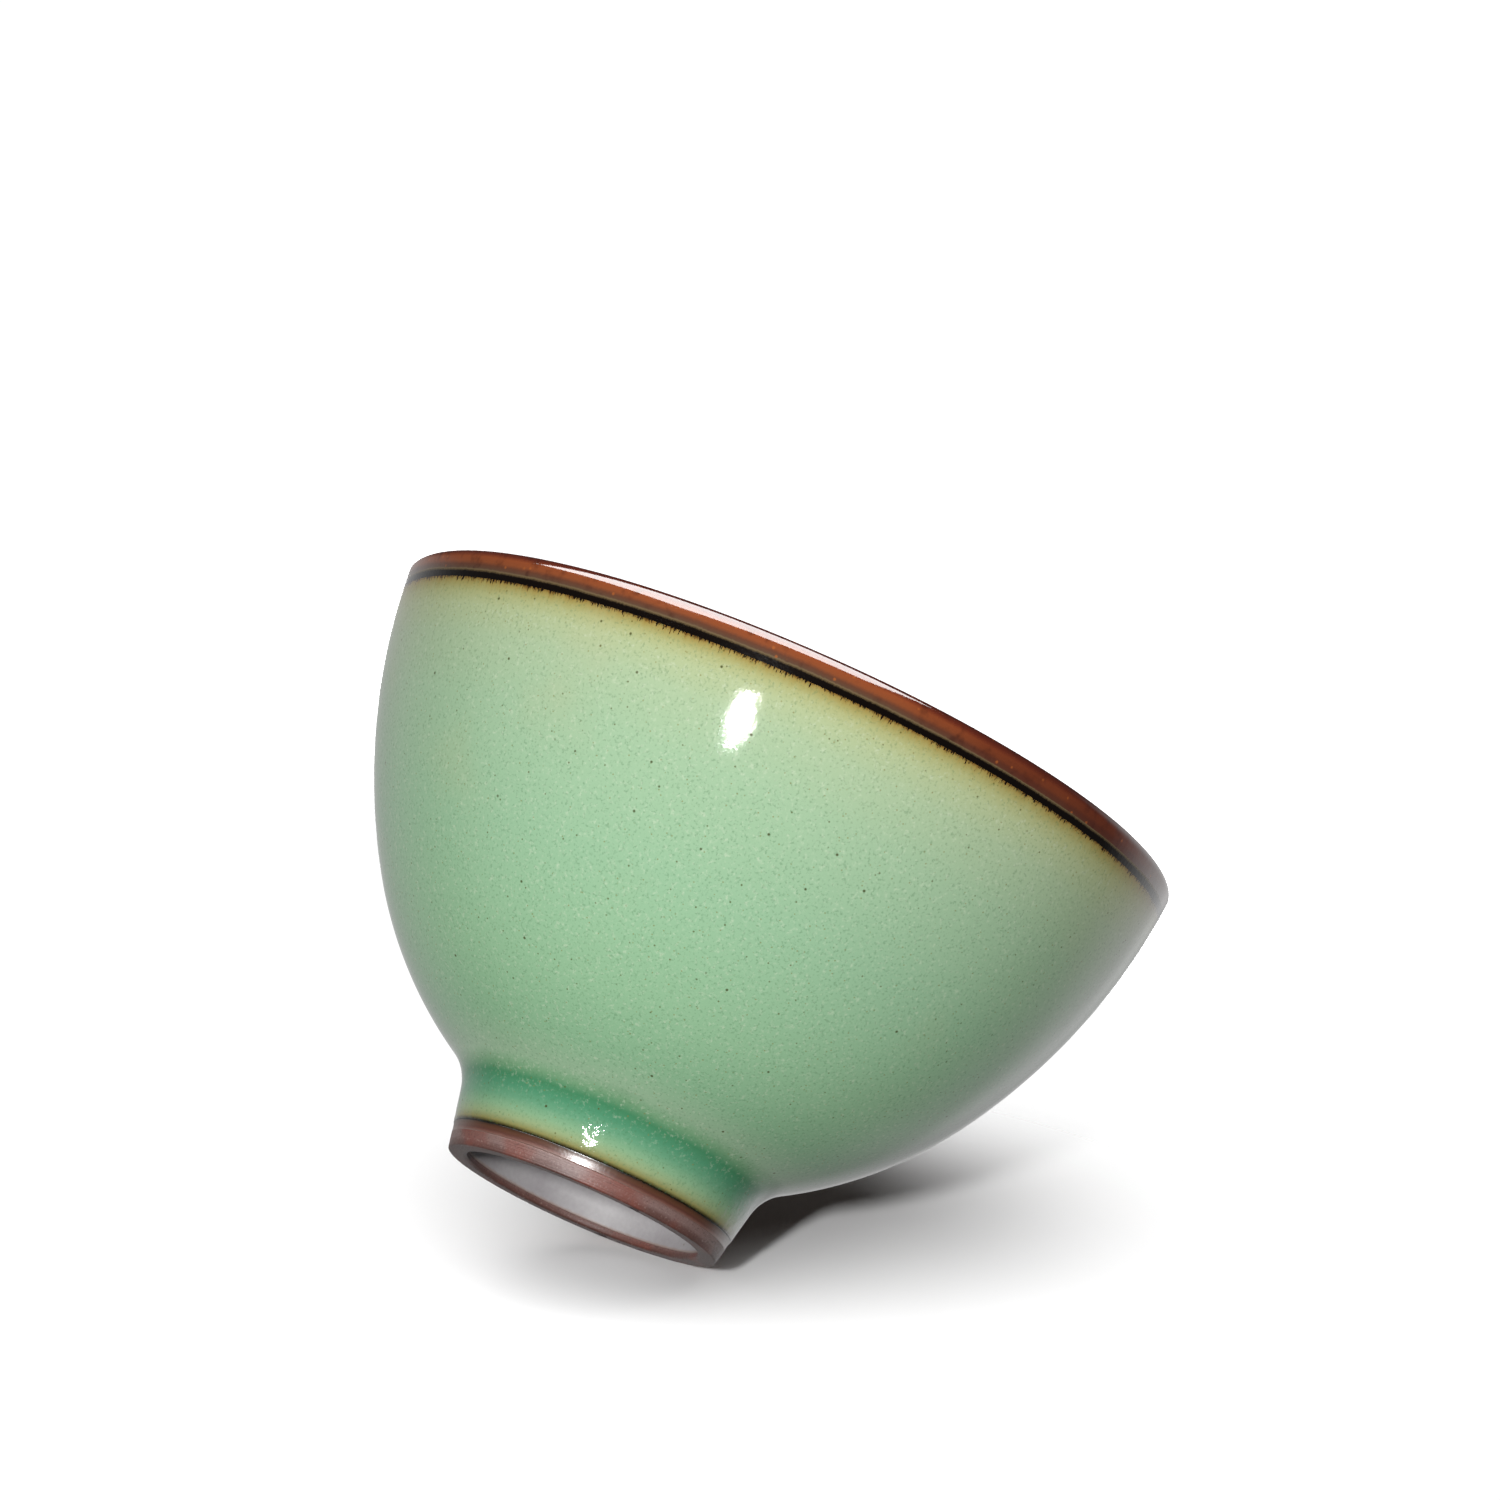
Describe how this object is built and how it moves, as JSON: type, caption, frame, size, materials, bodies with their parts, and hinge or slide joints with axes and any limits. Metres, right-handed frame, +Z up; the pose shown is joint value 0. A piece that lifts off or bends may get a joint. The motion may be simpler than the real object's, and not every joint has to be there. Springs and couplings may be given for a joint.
{
  "type": "matcha bowl",
  "caption": "Footed round tea bowl in glossy green glaze with an iron-brown rim, a pooled green neck and a bare clay foot ring, for whisking and drinking powdered tea.",
  "frame": {"origin": "centre of the standing face under the foot ring", "axes": "+Z up along the bowl's axis of revolution; X and Y are free, as the bowl is round"},
  "size_m": [0.12, 0.12, 0.0756],
  "materials": {
    "stoneware_body": "bare iron-bearing stoneware, fired red-brown; covered by glaze almost everywhere",
    "foot_ring": "trimmed iron-bearing stoneware, satin mauve-brown where bare",
    "foot_iron_band": "thin glossy iron wash, dark brown with a near-black upper line",
    "foot_well_glaze": "smooth pale grey glaze",
    "celadon_outside": "glossy celadon, yellow-green at the rim, blue-green on the belly, dark green pooled in the neck, fine mottle and iron specks",
    "rim_dark_line": "near-black iron line with a feathered lower edge",
    "rim_iron_glaze": "glossy iron-brown glaze, amber to mahogany",
    "celadon_inside": "glossy celadon, pooled deeper green in the middle"
  },
  "bodies": {
    "root": {"stoneware_body": "stoneware_body", "foot_ring": "foot_ring", "foot_iron_band": "foot_iron_band", "foot_well_glaze": "foot_well_glaze", "celadon_outside": "celadon_outside", "rim_dark_line": "rim_dark_line", "rim_iron_glaze": "rim_iron_glaze", "celadon_inside": "celadon_inside"}
  },
  "joints": []
}
